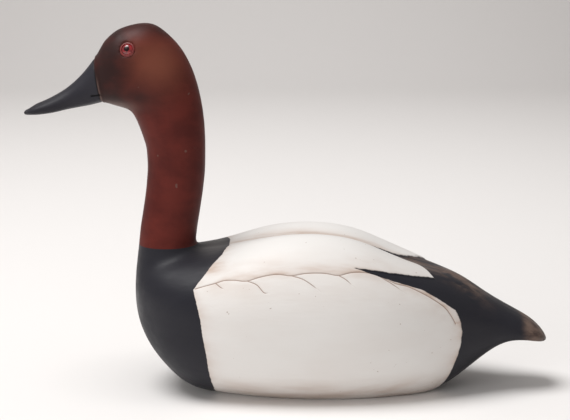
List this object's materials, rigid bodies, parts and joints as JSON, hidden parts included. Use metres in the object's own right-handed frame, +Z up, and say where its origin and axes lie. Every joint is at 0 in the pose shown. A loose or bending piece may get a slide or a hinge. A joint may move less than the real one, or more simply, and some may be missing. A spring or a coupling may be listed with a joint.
{
  "type": "floating duck decoy",
  "caption": "Hollow carved wooden drake decoy with a high head, glass eyes, an inlet ballast weight and a folding ring for the anchor line under the breast.",
  "frame": {"origin": "on the flat base, under the middle of the overall length, on the middle plane", "axes": "+X towards the tail, +Y towards the bird's right side, +Z up; the bill points along -X"},
  "size_m": [0.4509, 0.1584, 0.316],
  "materials": {
    "painted_body": "eggshell oil paint over carved wood",
    "painted_head": "eggshell oil paint over carved wood",
    "painted_bill": "eggshell oil paint over hardwood",
    "eye_glass": "polished red glass",
    "pupil_glass": "polished black glass",
    "putty": "painted putty",
    "dowel_wood": "plain birch",
    "screw_steel": "zinc plated",
    "ballast_lead": "dull cast lead",
    "brass": "weathered brass"
  },
  "bodies": {
    "decoy": {"body_upper_shell": "painted_body", "body_lower_shell": "painted_body", "head_and_neck": "painted_head", "bill": "painted_bill", "left_eye_glass": "eye_glass", "right_eye_glass": "eye_glass", "left_eye_pupil": "pupil_glass", "right_eye_pupil": "pupil_glass", "left_eye_putty": "putty", "right_eye_putty": "putty", "bill_dowel": "dowel_wood", "neck_pegs": "dowel_wood", "seam_dowels": "dowel_wood", "neck_screw": "screw_steel", "neck_washer": "screw_steel", "ballast_pad": "ballast_lead", "ballast_screws": "brass", "tie_staple": "brass"},
    "ring": {"tie_ring": "brass"}
  },
  "joints": [
    {"name": "ring_swing", "type": "hinge", "parent": "decoy", "child": "ring", "pos_m": [-0.05, 0, 0.0044], "axis": [0, 1, 0], "range_deg": [-6, 130]}
  ]
}
